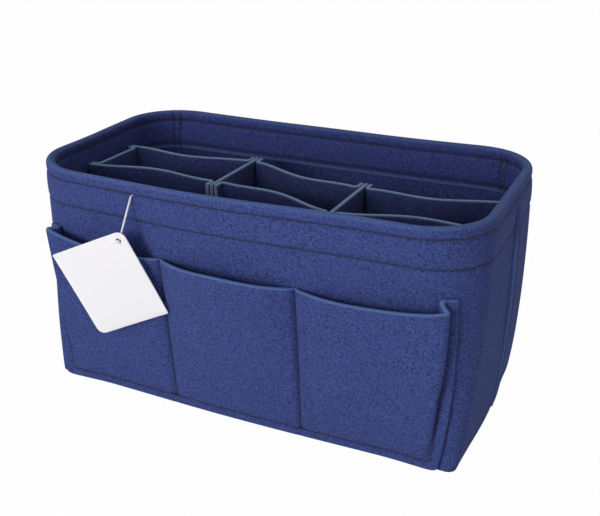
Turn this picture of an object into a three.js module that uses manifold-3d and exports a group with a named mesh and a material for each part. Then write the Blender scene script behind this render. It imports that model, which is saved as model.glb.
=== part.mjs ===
// Felt purse organizer insert: a soft open box with outside pockets and a loose row of inner cells.
// Millimetres, +Z up, length along X, the front faces -Y, origin on the floor under the middle.
import * as THREE from 'three';
import { mergeVertices } from 'three/addons/utils/BufferGeometryUtils.js';
import Module from 'manifold-3d';

const wasm = await Module();
wasm.setup();

// Felt
const FELT = 3;                  // thickness of the sheet that every panel is cut from
const LAYER_GAP = 0.3;           // between two layers that lie face to face

// Box
const HEIGHT = 155;
const RIM_LENGTH = 300;
const RIM_DEPTH = 169;
const RIM_CORNER = 44;           // outer radius of the box's corners at the rim
const RIM_BOW = 2.5;             // how far the long sides belly out at the rim
const BASE_LENGTH = 287;
const BASE_DEPTH = 139;
const BASE_CORNER = 10;
const BASE_BOW = 2.5;            // how far they belly out at the floor
const RIM_FLAT = 0.5;            // flat left on a layer's top edge beside the rolled rim
const SEAM_LAP = 10;             // the back half laps the front half at the middle of each end
const SEAM_EASE = 18;            // length over which the lapping felt climbs
const BASE_LIP = 9;              // the floor's edge is turned up inside the walls
const BASE_FOLD = 2.5;           // outer radius of that fold
const FACING_HEIGHT = 28;        // band of felt sewn inside the rim
const FACING_SEAM_ANGLE = 28;    // where the band's ends meet, degrees round the back corners

// Outside pockets
const POCKET_SEAM_HEIGHT = 106.5; // top edge where the strip is sewn down between two pockets
const POCKET_CROWN = 2;          // rise of the top edge over the middle pocket
const POCKET_END_LIFT = 3;       // rise of the top edge at the far side of each outer pocket
const POCKET_FOOT_LIFT = 7.5;    // rise of the top edge where the strip's ends lie on the wall
const POCKET_PITCH = 91;         // between the two upright seams
const POCKET_BULGE = 10.5;       // room inside the middle pocket at its mouth
const POCKET_END_BULGE = 8;      // room inside the outer pockets at their mouths
const POCKET_FOOT = 130;         // from the middle of the front to where the strip's ends meet the wall
const POCKET_FOLD = 2.2;         // radius of a gusset's two folds at the middle of the felt
const POCKET_FLANGE = 6.5;       // flat sewn margin past each gusset
const POCKET_HEM = 6;            // sewn margin along the bottom

// Loose row of cells
const DIVIDER_HEIGHT = 132;
const DIVIDER_PITCH = 92;        // between the two inner cross panels
const CELL_DEPTH = 50;           // front to back at the cross panels
const CELL_PINCH = 7;            // how far the long panels lean into each cell
const CELL_FLANGE = 6;           // standing seam at every corner
const CELL_FOLD = 2.5;           // radius of a fold at the middle of the felt
const ROW_SWAY = [8, 18, -3, 8]; // front-to-back drift of the cross panels, left to right

// Hang tag and its plastic pin
const PIN_X = -60.5;
const PIN_DROP = 8;              // below the rim
const PIN_DIAMETER = 1.2;
const PIN_PLAY = 0.3;            // round the stem, and between the pin's two pieces
const PIN_BAR = 10;              // cross bar that stops the pin inside the wall
const PIN_HEAD = 4.4;            // round stop in front of the tag
const PIN_HEAD_THICKNESS = 0.8;
const TAG_WIDTH = 50.6;
const TAG_HEIGHT = 60.9;
const TAG_THICKNESS = 0.8;
const TAG_ROUND = 5;             // two opposite corners are cut round, the other two nearly sharp
const TAG_SHARP = 0.8;
const TAG_HOLE = 3;
const TAG_HOLE_INSET = 5.3;      // hole centre from both edges
const TAG_SIDE = -3.9;           // hole centre from the pin's exit, along X
const TAG_FALL = 25.5;           // hole centre below the pin's exit
const TAG_YAW = 15.4;            // degrees
const TAG_LEAN = 6.5;
const TAG_ROLL = -23;

// Finishes
const FELT_COLOR = 0x2b3a78;
const FACING_COLOR = 0x26336c;
const DIVIDER_COLOR = 0x2a3872;
const CARD_COLOR = 0xf4f3f2;
const NYLON_COLOR = 0xdfe2ea;

const degrees = THREE.MathUtils.degToRad;
const mix = THREE.MathUtils.lerp;
const organizer = new THREE.Group();

function addPiece(name, geometry, color, roughness) {
  const material = new THREE.MeshStandardMaterial({ color, roughness, metalness: 0 });
  const piece = new THREE.Mesh(geometry, material);
  piece.name = name;
  organizer.add(piece);
  return piece;
}

const addFelt = (name, geometry, color = FELT_COLOR) => addPiece(name, geometry, color, 0.95);

function indexedSolid(points, indices) {
  const geometry = new THREE.BufferGeometry().setFromPoints(points);
  geometry.setIndex(indices);
  geometry.computeVertexNormals();
  return geometry;
}

// A sheet from its two faces, each a list of columns of points.
// Columns run counterclockwise seen from above, and each column runs upwards.
function sheetSolid(outer, inner) {
  const lastColumn = outer.length - 1;
  const lastRow = outer[0].length - 1;
  const points = [...outer.flat(), ...inner.flat()];
  const indices = [];
  const out = (column, row) => column * (lastRow + 1) + row;
  const back = (column, row) => out(lastColumn + 1 + column, row);
  const quad = (a, b, c, d) => indices.push(a, b, c, a, c, d);
  for (let i = 0; i < lastColumn; i += 1) {
    for (let j = 0; j < lastRow; j += 1) {
      quad(out(i, j), out(i + 1, j), out(i + 1, j + 1), out(i, j + 1));
      quad(back(i, j), back(i, j + 1), back(i + 1, j + 1), back(i + 1, j));
    }
    quad(back(i, 0), back(i + 1, 0), out(i + 1, 0), out(i, 0));
    quad(out(i, lastRow), out(i + 1, lastRow), back(i + 1, lastRow), back(i, lastRow));
  }
  for (let j = 0; j < lastRow; j += 1) {
    quad(back(0, j), out(0, j), out(0, j + 1), back(0, j + 1));
    quad(out(lastColumn, j), back(lastColumn, j), back(lastColumn, j + 1), out(lastColumn, j + 1));
  }
  return indexedSolid(points, indices);
}

// A solid from a stack of level rings with equal counts, its first and last ring closed flat.
function ringSolid(rings) {
  const count = rings[0].length;
  const points = rings.flat();
  const indices = [];
  const at = (ring, i) => ring * count + (i % count);
  for (let ring = 0; ring < rings.length - 1; ring += 1) {
    for (let i = 0; i < count; i += 1) {
      indices.push(at(ring, i), at(ring, i + 1), at(ring + 1, i + 1));
      indices.push(at(ring, i), at(ring + 1, i + 1), at(ring + 1, i));
    }
  }
  const last = rings.length - 1;
  const foot = points.push(new THREE.Vector3(0, 0, rings[0][0].z)) - 1;
  const head = points.push(new THREE.Vector3(0, 0, rings[last][0].z)) - 1;
  for (let i = 0; i < count; i += 1) {
    indices.push(foot, at(0, i + 1), at(0, i));
    indices.push(head, at(last, i), at(last, i + 1));
  }
  return indexedSolid(points, indices);
}

function toManifold(geometry) {
  const bare = new THREE.BufferGeometry();
  bare.setAttribute('position', geometry.getAttribute('position'));
  bare.setIndex(geometry.getIndex());
  const welded = mergeVertices(bare, 1e-4);
  return new wasm.Manifold(new wasm.Mesh({
    numProp: 3,
    vertProperties: new Float32Array(welded.getAttribute('position').array),
    triVerts: new Uint32Array(welded.getIndex().array),
  }));
}

function fromManifold(solid) {
  const { vertProperties, triVerts } = solid.getMesh();
  const geometry = new THREE.BufferGeometry();
  geometry.setAttribute('position', new THREE.BufferAttribute(vertProperties, 3));
  geometry.setIndex(new THREE.BufferAttribute(triVerts, 1));
  geometry.computeVertexNormals();
  return geometry;
}

const joined = (...parts) => fromManifold(wasm.Manifold.union(parts.map(toManifold)));
const cut = (body, tool) => fromManifold(toManifold(body).subtract(toManifold(tool)));

// The wall: a rounded rectangle in plan that widens from the floor to the rim.
function wallPlan(height) {
  const rise = height / HEIGHT;
  const bow = mix(BASE_BOW, RIM_BOW, rise);
  const corner = mix(BASE_CORNER, RIM_CORNER, rise);
  const halfX = mix(BASE_LENGTH, RIM_LENGTH, rise) / 2;
  const halfY = mix(BASE_DEPTH, RIM_DEPTH, rise) / 2 - bow;
  const straight = halfX - corner;
  const bend = corner * Math.PI / 2;
  return { bow, corner, halfX, halfY, straight, bend, halfRun: straight + bend + halfY - corner };
}

// A point on the wall's outer face, moved out by a distance. The run is measured along the wall
// from the middle of the front, towards +X; past the middle of an end it comes round to the back.
function wallPoint(run, height, out = 0) {
  const { bow, corner, halfX, halfY, straight, bend, halfRun } = wallPlan(height);
  const side = Math.sign(run);
  const reach = Math.abs(run);
  if (reach > halfRun) {
    const { x, y } = wallPoint(run - side * 2 * halfRun, height, out);
    return new THREE.Vector3(-x, -y, height);
  }
  if (reach <= straight) {
    const belly = bow * Math.cos(Math.PI / 2 * reach / straight) ** 2;
    return new THREE.Vector3(run, -halfY - belly - out, height);
  }
  const angle = Math.min((reach - straight) / corner, Math.PI / 2);
  const along = Math.max(reach - straight - bend, 0);
  const turned = corner + out;
  return new THREE.Vector3(
    side * (halfX - corner + turned * Math.sin(angle)),
    corner - halfY - turned * Math.cos(angle) + along,
    height,
  );
}

// Places along the wall that keep their meaning at every height.
const onFront = (share) => (height) => share * wallPlan(height).straight;
const onCorner = (share) => (height) => wallPlan(height).straight + share * wallPlan(height).bend;
const beforeEnd = (distance) => (height) => wallPlan(height).halfRun - distance;
const steps = (count) => Array.from({ length: count }, (_, i) => (i + 1) / count);
const mirrored = (places) => [...places.map((run) => (z) => -run(z)).reverse(), onFront(0), ...places];
const frontPlaces = steps(5).map(onFront);
const cornerPlaces = steps(8).map(onCorner);

// Heights and setbacks of a layer's rows, with the top edge rolled over towards the rim's middle.
const ROLL = FELT - RIM_FLAT;
const rollRows = [0, ...steps(4)].map((share) => {
  const angle = share * Math.PI / 2;
  return { height: HEIGHT - ROLL + ROLL * Math.sin(angle), setback: ROLL - ROLL * Math.cos(angle) };
});

function wallSheet(places, low, faceOut, outerRoll, innerRoll) {
  const rows = [{ height: low, setback: 0 }, ...rollRows];
  const face = (offset) => places.map((run) => rows.map(({ height, setback }) => (
    wallPoint(run(height), height, faceOut(run, height) + offset(setback)))));
  return sheetSolid(face((setback) => -outerRoll * setback), face((setback) => innerRoll * setback - FELT));
}

// Shell halves: the back half climbs over the front half where they lap
const LAP_REACH = SEAM_LAP / 2;
const LAP_START = LAP_REACH + 2 * LAYER_GAP;
const easeSteps = [0, ...steps(4)].map((share) => LAP_START + SEAM_EASE * (1 - share));
const climb = (run, height) => {
  const before = wallPlan(height).halfRun - Math.abs(run(height));
  return (FELT + LAYER_GAP) * (1 - THREE.MathUtils.smoothstep(before, LAP_START, LAP_START + SEAM_EASE));
};
const lappingPlaces = mirrored([
  ...frontPlaces, ...cornerPlaces, ...easeSteps.map(beforeEnd), beforeEnd(-LAP_REACH)]);
const lappedPlaces = mirrored([...frontPlaces, ...cornerPlaces, beforeEnd(-LAP_REACH)]);
const frontShell = wallSheet(lappedPlaces, 0, () => 0, 1, 0);
const backShell = wallSheet(lappingPlaces, 0, climb, 1, 0);

// Rim facing: a long band round the front and ends, and a short one across the back
const FACING_OUT = -(FELT + LAYER_GAP);
const FACING_LOW = HEIGHT - FACING_HEIGHT;
const seamShare = FACING_SEAM_ANGLE / 90;
const pastEnd = (share) => (height) => 2 * wallPlan(height).halfRun - onCorner(share)(height);
const pastSeam = (gap) => (height) => onCorner(seamShare)(height) + gap;
const beforeSeam = (height) => 2 * wallPlan(height).halfRun - pastSeam(LAYER_GAP)(height);
const shortOfSeam = (share) => share > seamShare && share < 1;
const longFacingPlaces = mirrored([
  ...frontPlaces, ...cornerPlaces, beforeEnd(0), pastEnd(1),
  ...steps(8).filter(shortOfSeam).reverse().map(pastEnd), beforeSeam]);
const shortFacingPlaces = mirrored([
  ...frontPlaces, ...steps(8).filter((share) => share < seamShare).map(onCorner), pastSeam(0)]);
const frontFacing = wallSheet(longFacingPlaces, FACING_LOW, () => FACING_OUT, 0, 1);
const backFacing = wallSheet(shortFacingPlaces, FACING_LOW, () => FACING_OUT, 0, 1);

// Floor: a flat sheet whose edge is folded up inside the walls
function floorRing(height, out) {
  const half = mirrored([...frontPlaces, ...cornerPlaces]).map((run) => wallPoint(run(height), height, out));
  return [...half, ...half.map(({ x, y, z }) => new THREE.Vector3(-x, -y, z))];
}
const FLOOR_OUT = -(FELT + LAYER_GAP);
const floorPanel = ringSolid([
  ...[0, ...steps(3)].map((share) => {
    const angle = share * Math.PI / 2;
    const out = FLOOR_OUT - BASE_FOLD + BASE_FOLD * Math.sin(angle);
    return floorRing(BASE_FOLD - BASE_FOLD * Math.cos(angle), out);
  }),
  floorRing(BASE_LIP, FLOOR_OUT),
  floorRing(BASE_LIP, FLOOR_OUT - FELT),
  floorRing(FELT, FLOOR_OUT - FELT),
]);

// Pocket strip: sewn down at two upright seams, its ends and its bottom, standing off in between
const POCKET_SEAM = POCKET_PITCH / 2;
const swell = (share) => 1 - (1 - Math.sin(Math.PI * share)) ** 1.6;

// From the far side of an outer pocket back to the wall: two folds with a straight piece between.
// Near the bottom, where the pocket closes, the folds open out flat.
function gussetPath(share, room) {
  const width = 2 * POCKET_FOLD;
  const level = Math.max(room - width, 0);
  const arc = POCKET_FOLD * Math.PI / 2;
  const gone = share * (2 * arc + level);
  const first = Math.min(gone, arc) / POCKET_FOLD;
  const last = Math.max(gone - arc - level, 0) / POCKET_FOLD;
  const down = THREE.MathUtils.clamp(gone - arc, 0, level);
  const folded = POCKET_FOLD * (Math.sin(first) + 1 - Math.cos(last));
  const left = width + level - down - POCKET_FOLD * (1 - Math.cos(first) + Math.sin(last));
  const shut = Math.min(room / width, 1);
  return { run: POCKET_FOOT - width + mix(width * share, folded, shut), room: left * shut };
}

// Marks along the strip: 0 to 1 is half the middle pocket, 1 to 2 an outer pocket, 2 to 3 its gusset,
// 3 to 4 the flange.
function stripShape(far, open) {
  const endRoom = POCKET_END_BULGE * open;
  if (far <= 1) return { run: POCKET_SEAM * far, room: POCKET_BULGE * open * swell((far + 1) / 2) };
  if (far > 3) return { run: POCKET_FOOT + POCKET_FLANGE * (far - 3), room: 0 };
  if (far > 2) return gussetPath(far - 2, endRoom);
  const edge = gussetPath(0, endRoom).run;
  return { run: mix(POCKET_SEAM, edge, far - 1), room: endRoom * swell(Math.min(0.9 * (far - 1), 0.5)) };
}

function stripLift(far) {
  const crown = POCKET_CROWN * Math.cos(Math.PI / 2 * Math.min(far, 1));
  const end = POCKET_END_LIFT * Math.sin(Math.PI / 2 * THREE.MathUtils.clamp(far - 1, 0, 1));
  return crown + end + (POCKET_FOOT_LIFT - POCKET_END_LIFT) * THREE.MathUtils.smoothstep(far, 2, 3);
}

function pocketMiddle(mark, share) {
  const far = Math.abs(mark);
  const top = POCKET_SEAM_HEIGHT + stripLift(far);
  const height = share * top;
  const open = Math.max((height - POCKET_HEM) / (top - POCKET_HEM), 0);
  const { run, room } = stripShape(far, open * (1.3 - 0.3 * open));
  return wallPoint(Math.sign(mark) * run, height, LAYER_GAP + FELT / 2 + room);
}

// Both faces of a sheet from the middle of its felt, half the felt to each side in plan.
function thickened(middle) {
  const shifted = (side) => middle.map((column, i) => column.map((point, j) => {
    const before = middle[Math.max(i - 1, 0)][j];
    const after = middle[Math.min(i + 1, middle.length - 1)][j];
    const along = new THREE.Vector3().subVectors(after, before).setZ(0).normalize();
    return new THREE.Vector3(along.y, -along.x, 0).multiplyScalar(side * FELT / 2).add(point);
  }));
  return { outer: shifted(1), inner: shifted(-1) };
}

const pocketRows = [0, POCKET_HEM / POCKET_SEAM_HEIGHT, ...steps(8)];
const farMarks = [9, 12, 10, 4].flatMap((count, stretch) => steps(count).map((share) => stretch + share));
const pocketMarks = [...farMarks.map((mark) => -mark).reverse(), 0, ...farMarks];
const pocketFaces = thickened(pocketMarks.map((mark) => (
  pocketRows.map((share) => pocketMiddle(mark, share)))));
const pocketStrip = () => sheetSolid(pocketFaces.outer, pocketFaces.inner);

// Row of cells: cross panels stand between long panels, and their edges meet in standing seams
const FLOOR_TOP = FELT + LAYER_GAP;
const DIVIDER_TOP = FLOOR_TOP + DIVIDER_HEIGHT;
const LAYER = FELT + LAYER_GAP;
const HALF_CELL = CELL_DEPTH / 2;
const rowEnd = (height) => wallPlan(height).halfX - 2 * LAYER;
const crossX = (index, height) => {
  const end = rowEnd(height) - CELL_FLANGE - CELL_FOLD;
  return [-end, -DIVIDER_PITCH / 2, DIVIDER_PITCH / 2, end][index];
};

function standingPanel(line) {
  const middle = [FLOOR_TOP, DIVIDER_TOP].map((height) => (
    line(height).map(([x, y]) => new THREE.Vector3(x, y, height))));
  const { outer, inner } = thickened(middle[0].map((point, i) => [point, middle[1][i]]));
  return sheetSolid(outer, inner);
}

// Quarter turn from one direction to another, round the corner where the two lines would meet.
function fold([x, y], [fromX, fromY], [toX, toY]) {
  return [0, ...steps(4)].map((share) => {
    const angle = share * Math.PI / 2;
    const back = CELL_FOLD * (1 - Math.sin(angle));
    const on = CELL_FOLD * (1 - Math.cos(angle));
    return [x - fromX * back + toX * on, y - fromY * back + toY * on];
  });
}

// A long panel of one cell. Side is -1 at the front and 1 at the back; the front runs towards +X.
function longPanel(index, side) {
  return (height) => {
    const ends = [index, index + 1].map((post, right) => {
      const inward = right ? -1 : 1;
      const y = ROW_SWAY[post] + side * HALF_CELL;
      const isOuter = post === 0 || post === ROW_SWAY.length - 1;
      const x = crossX(post, height) + inward * LAYER;
      const tip = y + side * (CELL_FLANGE + CELL_FOLD);
      const bend = fold([x, y], [0, -side], [inward, 0]);
      return isOuter ? [[-inward * rowEnd(height), y], [crossX(post, height), y]] : [[x, tip], ...bend];
    });
    const [left, right] = ends;
    const [x0, y0] = left[left.length - 1];
    const [x1, y1] = right[right.length - 1];
    const pinched = steps(12).slice(0, -1).map((share) => [
      mix(x0, x1, share), mix(y0, y1, share) - side * CELL_PINCH * Math.sin(Math.PI * share) ** 2]);
    const line = [...left, ...pinched, ...right.reverse()];
    return side < 0 ? line : line.reverse();
  };
}

function innerCross(index) {
  const reach = HALF_CELL + CELL_FOLD + CELL_FLANGE;
  return (height) => [-reach, reach].map((y) => [crossX(index, height), ROW_SWAY[index] + y]);
}

function endCross(index) {
  const outward = index === 0 ? -1 : 1;
  return (height) => {
    const x = crossX(index, height);
    const tip = outward * rowEnd(height);
    const low = ROW_SWAY[index] - HALF_CELL + LAYER;
    const high = ROW_SWAY[index] + HALF_CELL - LAYER;
    const line = [
      [tip, low], ...fold([x, low], [-outward, 0], [0, 1]),
      ...fold([x, high], [0, 1], [outward, 0]), [tip, high]];
    return outward > 0 ? line : line.reverse();
  };
}

// Pin: the bar and stem are held in the wall, the filament and its head swing outside it
const PIN_HEIGHT = HEIGHT - PIN_DROP;
const PIN_RADIUS = PIN_DIAMETER / 2;
const pinExit = wallPoint(PIN_X, PIN_HEIGHT);
const hingePoint = pinExit.clone().add(new THREE.Vector3(0, -2 * PIN_RADIUS - PIN_PLAY, 0));

function rod(diameter, length, axis) {
  const geometry = new THREE.CylinderGeometry(diameter / 2, diameter / 2, length, 12);
  if (axis === 'x') geometry.rotateZ(Math.PI / 2);
  return geometry;
}

const barY = pinExit.y + 2 * LAYER + PIN_PLAY + PIN_RADIUS;
const stemFront = pinExit.y - PIN_RADIUS;
const stemMiddle = (stemFront + barY) / 2;
const stem = rod(PIN_DIAMETER, barY - stemFront, 'y').translate(PIN_X, stemMiddle, PIN_HEIGHT);
const pinBar = joined(stem, rod(PIN_DIAMETER, PIN_BAR, 'x').translate(PIN_X, barY, PIN_HEIGHT));
const pinHole = rod(PIN_DIAMETER + 2 * PIN_PLAY, 4 * LAYER, 'y').translate(PIN_X, stemMiddle, PIN_HEIGHT);

// Tag: a flat card that leans on the pocket below it
const tagTurn = new THREE.Euler(degrees(TAG_LEAN), degrees(TAG_ROLL), degrees(TAG_YAW), 'ZXY');
const tagRight = new THREE.Vector3(1, 0, 0).applyEuler(tagTurn);
const tagUp = new THREE.Vector3(0, 0, 1).applyEuler(tagTurn);
const tagNormal = new THREE.Vector3(0, -1, 0).applyEuler(tagTurn);

function tagHolePlace() {
  const place = new THREE.Vector3(PIN_X + TAG_SIDE, pinExit.y, PIN_HEIGHT - TAG_FALL);
  const offsets = pocketFaces.outer.flat().map((point) => point.clone().sub(place)).filter((offset) => {
    const across = offset.dot(tagRight) - TAG_HOLE_INSET + TAG_WIDTH / 2;
    const up = offset.dot(tagUp) - TAG_HOLE_INSET + TAG_HEIGHT / 2;
    return Math.abs(across) < TAG_WIDTH / 2 + LAYER && Math.abs(up) < TAG_HEIGHT / 2 + LAYER;
  });
  const proud = Math.max(...offsets.map((offset) => offset.dot(tagNormal)));
  const backFace = proud + 2 * LAYER_GAP + TAG_THICKNESS / 2;
  return place.add(new THREE.Vector3(0, backFace / tagNormal.y, 0));
}
const tagHole = tagHolePlace();

function tagOutline() {
  const right = TAG_HOLE_INSET;
  const top = TAG_HOLE_INSET;
  const left = right - TAG_WIDTH;
  const bottom = top - TAG_HEIGHT;
  const quarter = Math.PI / 2;
  const card = new THREE.Shape();
  card.absarc(left + TAG_ROUND, bottom + TAG_ROUND, TAG_ROUND, 2 * quarter, 3 * quarter);
  card.absarc(right - TAG_SHARP, bottom + TAG_SHARP, TAG_SHARP, 3 * quarter, 4 * quarter);
  card.absarc(right - TAG_ROUND, top - TAG_ROUND, TAG_ROUND, 0, quarter);
  card.absarc(left + TAG_SHARP, top - TAG_SHARP, TAG_SHARP, quarter, 2 * quarter);
  card.holes.push(new THREE.Path().absarc(0, 0, TAG_HOLE / 2, 0, 4 * quarter));
  return card;
}

function filament() {
  const behind = (distance) => tagHole.clone().addScaledVector(tagNormal, -distance);
  const headMiddle = TAG_THICKNESS / 2 + LAYER_GAP + PIN_HEAD_THICKNESS / 2;
  const route = new THREE.CatmullRomCurve3([
    hingePoint,
    hingePoint.clone().lerp(behind(3), 0.12).add(new THREE.Vector3(0, -1.2, 0)),
    hingePoint.clone().lerp(behind(3), 0.5).add(new THREE.Vector3(0.3, -1.4, 0)),
    behind(3.2).addScaledVector(tagUp, 4),
    behind(2).addScaledVector(tagUp, 0.9),
    behind(1),
    behind(-headMiddle),
  ]);
  const section = new THREE.Shape().absarc(0, 0, PIN_RADIUS, 0, 2 * Math.PI);
  const thread = new THREE.ExtrudeGeometry(section, { extrudePath: route, steps: 48, curveSegments: 5 });
  const knuckle = new THREE.SphereGeometry(PIN_RADIUS * 1.05, 10, 8).translate(...hingePoint);
  const head = rod(PIN_HEAD, PIN_HEAD_THICKNESS, 'y');
  const facing = new THREE.Quaternion().setFromUnitVectors(new THREE.Vector3(0, 1, 0), tagNormal);
  head.applyQuaternion(facing).translate(...behind(-headMiddle));
  return joined(thread, knuckle, head);
}

// Assembly
addFelt('base_panel', floorPanel);
addFelt('front_shell', cut(frontShell, pinHole));
addFelt('back_shell', backShell).rotation.z = Math.PI;
addFelt('rim_facing_front', cut(frontFacing, pinHole), FACING_COLOR);
addFelt('rim_facing_back', backFacing, FACING_COLOR).rotation.z = Math.PI;
addFelt('front_pocket_strip', pocketStrip());
addFelt('back_pocket_strip', pocketStrip()).rotation.z = Math.PI;

for (let cell = 0; cell < ROW_SWAY.length - 1; cell += 1) {
  addFelt(`divider_front_${cell + 1}`, standingPanel(longPanel(cell, -1)), DIVIDER_COLOR);
  addFelt(`divider_back_${cell + 1}`, standingPanel(longPanel(cell, 1)), DIVIDER_COLOR);
}
ROW_SWAY.forEach((_, index) => {
  const isEnd = index === 0 || index === ROW_SWAY.length - 1;
  const line = isEnd ? endCross(index) : innerCross(index);
  addFelt(`divider_cross_${index + 1}`, standingPanel(line), DIVIDER_COLOR);
});

addPiece('tag_pin_bar', pinBar, NYLON_COLOR, 0.4);
addPiece('tag_filament', filament(), NYLON_COLOR, 0.4);
const pressed = { depth: TAG_THICKNESS, bevelEnabled: false, curveSegments: 8 };
const card = new THREE.ExtrudeGeometry(tagOutline(), pressed);
card.translate(0, 0, -TAG_THICKNESS / 2).rotateX(Math.PI / 2);
const tag = addPiece('hang_tag', card, CARD_COLOR, 0.6);
tag.position.copy(tagHole);
tag.rotation.copy(tagTurn);

export default organizer;
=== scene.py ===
# %% [markdown]
# # A felt organizer that stands inside a handbag
# The real thing is a soft open box. Every panel is cut from the same 3 mm navy felt and sewn with
# dark thread: two wall halves, a floor, a facing inside the rim, a strip of outside pockets on
# each long side, and a loose row of three cells that lifts out. A blank white card hangs from a
# thin nylon pin under the rim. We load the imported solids, and then dress each of them.

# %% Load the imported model
import math

import bmesh
import bpy
import numpy as np
from mathutils import Matrix, Vector


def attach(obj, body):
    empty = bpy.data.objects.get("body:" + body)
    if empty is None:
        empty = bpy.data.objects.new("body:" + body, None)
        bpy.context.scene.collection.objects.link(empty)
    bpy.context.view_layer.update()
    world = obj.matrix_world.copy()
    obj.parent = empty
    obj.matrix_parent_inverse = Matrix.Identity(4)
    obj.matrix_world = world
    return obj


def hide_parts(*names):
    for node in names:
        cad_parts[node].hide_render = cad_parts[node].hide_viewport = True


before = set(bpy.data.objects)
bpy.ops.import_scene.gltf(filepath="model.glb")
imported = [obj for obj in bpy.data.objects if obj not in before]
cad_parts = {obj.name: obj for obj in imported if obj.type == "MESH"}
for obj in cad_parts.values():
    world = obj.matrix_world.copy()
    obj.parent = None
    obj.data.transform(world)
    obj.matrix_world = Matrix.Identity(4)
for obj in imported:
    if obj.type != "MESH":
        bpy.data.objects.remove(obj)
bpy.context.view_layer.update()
MM = 0.001

# %% [markdown]
# ## The camera
# The photograph was taken from the right of the front, a little above the rim. The box's corners
# were matched to their places in the picture to find where the camera stood and how long its lens
# was. A camera is easiest to aim with `to_track_quat`, which turns it to look along a direction.

# %% Set up the camera
camera = bpy.data.objects.new("camera", bpy.data.cameras.new("camera"))
bpy.context.scene.collection.objects.link(camera)
bpy.context.scene.camera = camera
camera.location = (0.24347, -0.49526, 0.32289)
aim = Vector((0.01115, 0.00091, 0.08355))
camera.rotation_euler = (aim - camera.location).to_track_quat("-Z", "Y").to_euler()
camera.data.sensor_width = 36
camera.data.sensor_fit = "HORIZONTAL"
camera.data.lens = 53.313
camera.data.shift_y = 0.00713
print("camera to aim", round((aim - camera.location).length, 3), "m")

# %% [markdown]
# ## The box's own sizes
# All the felt follows one wall: a rounded rectangle that widens from the floor to the rim. If each
# layer is placed by how far it lies outside or inside that wall, layers never cut each other.
# Sizes are in millimetres, because that is how a maker would write them, and meshes are scaled to
# metres at the end.

# %% Sizes in millimetres
FELT = 3.0
LAYER = 3.3                      # one thickness and the little air between two layers
HEIGHT = 155.0
RIM_LENGTH, RIM_DEPTH, RIM_CORNER = 300.0, 169.0, 41.0
BASE_LENGTH, BASE_DEPTH, BASE_CORNER = 287.0, 139.0, 5.0
BOW = 2.5                        # how far the long sides belly out
RIM_LINE = HEIGHT - 7.1          # upper row of stitches round the rim
FACING_LINE = HEIGHT - 24.7      # lower row, which holds the facing
FACING_LOW = HEIGHT - 28
HEM_LINE = 5.3                   # row of stitches just above the floor


def mixed(low, high, share):
    return low + (high - low) * share


def smooth(value, low, high):
    share = np.clip((value - low) / (high - low), 0, 1)
    return share * share * (3 - 2 * share)


def wall_plan(height):
    """Corner radius, half length and half depth of the wall at a height."""
    rise = height / HEIGHT
    corner = mixed(BASE_CORNER, RIM_CORNER, rise)
    half_x = mixed(BASE_LENGTH, RIM_LENGTH, rise) / 2
    half_y = mixed(BASE_DEPTH, RIM_DEPTH, rise) / 2 - BOW
    return corner, half_x, half_y


def half_run(height):
    """Length of wall from the middle of the front to the middle of an end."""
    corner, half_x, half_y = wall_plan(height)
    return half_x + half_y - 2 * corner + corner * math.pi / 2


def wall_point(run, height, out=0.0):
    """Points on the wall's outer face, moved out. The run starts at the middle of the front."""
    run, height, out = np.broadcast_arrays(*(np.asarray(v, float) for v in (run, height, out)))
    corner, half_x, half_y = wall_plan(height)
    reach_end = half_run(height)
    round_back = np.abs(run) > reach_end
    run = np.where(round_back, run - np.sign(run) * 2 * reach_end, run)
    straight = half_x - corner
    reach, side = np.abs(run), np.sign(run)
    angle = np.clip((reach - straight) / corner, 0, math.pi / 2)
    along = np.maximum(reach - straight - corner * math.pi / 2, 0)
    belly = BOW * np.cos(math.pi / 2 * np.minimum(reach / straight, 1)) ** 2
    front = reach <= straight
    x = np.where(front, run, side * (straight + (corner + out) * np.sin(angle)))
    y = np.where(front, -half_y - belly - out, corner - half_y - (corner + out) * np.cos(angle) + along)
    turn = np.where(round_back, -1, 1)
    return np.stack([x * turn, y * turn, height], axis=-1)


def turned_by(points, turn):
    """The same points, or with -1 half a turn round, on the other side of the box."""
    return points * np.array([turn, turn, 1])


CORNER_RUN = float(half_run(HEIGHT))
print("wall from front middle to end middle", round(CORNER_RUN, 1), "mm")

# %% [markdown]
# ## Shader maths as plain Python
# A material is a graph of nodes. Building it by hand is wordy, so one small class wraps an output
# socket and turns `a * b` or `1 - mask` into Math nodes. Every other node comes from one method,
# which takes the node's type, its settings and the values or links of its sockets.


# %% A socket that can be used in arithmetic
def find_socket(sockets, key):
    """A socket by its number, or else by its identifier or name."""
    return sockets[key] if isinstance(key, int) else next(
        socket for socket in sockets if key in (socket.identifier, socket.name))


class Wire:
    def __init__(self, finish, socket):
        self.finish, self.socket = finish, socket

    def maths(self, operation, first, second):
        node = self.finish.node("ShaderNodeMath", {"operation": operation}, {0: first, 1: second})
        return self.finish.wire(node, 0)

    def __add__(self, other):
        return self.maths("ADD", self, other)

    def __sub__(self, other):
        return self.maths("SUBTRACT", self, other)

    def __rsub__(self, other):
        return self.maths("SUBTRACT", other, self)

    def __mul__(self, other):
        return self.maths("MULTIPLY", self, other)

    __radd__, __rmul__ = __add__, __mul__


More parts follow.
